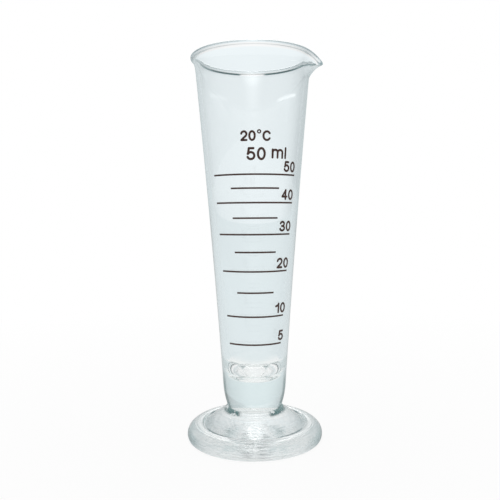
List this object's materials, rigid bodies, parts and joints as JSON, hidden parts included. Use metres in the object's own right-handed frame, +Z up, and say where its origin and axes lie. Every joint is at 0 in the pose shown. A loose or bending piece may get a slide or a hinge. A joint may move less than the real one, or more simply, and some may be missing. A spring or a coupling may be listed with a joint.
{
  "type": "measuring cup",
  "caption": "Conical glass measuring cup with a beaded rim, a drawn pouring lip and printed volume lines, fused to a round glass foot.",
  "frame": {"origin": "middle of the foot's underside, on the vessel's axis, in the plane that the foot stands on", "axes": "+Z up along the vessel's axis, +X towards the pouring lip, -Y towards the printed scale"},
  "size_m": [0.0566, 0.056, 0.156],
  "materials": {
    "vessel_glass": "polished",
    "foot_glass": "polished",
    "enamel": "satin"
  },
  "bodies": {
    "root": {"vessel": "vessel_glass", "foot": "foot_glass", "graduation_05": "enamel", "graduation_10": "enamel", "graduation_15": "enamel", "graduation_20": "enamel", "graduation_25": "enamel", "graduation_30": "enamel", "graduation_35": "enamel", "graduation_40": "enamel", "graduation_45": "enamel", "graduation_50": "enamel"}
  },
  "joints": []
}
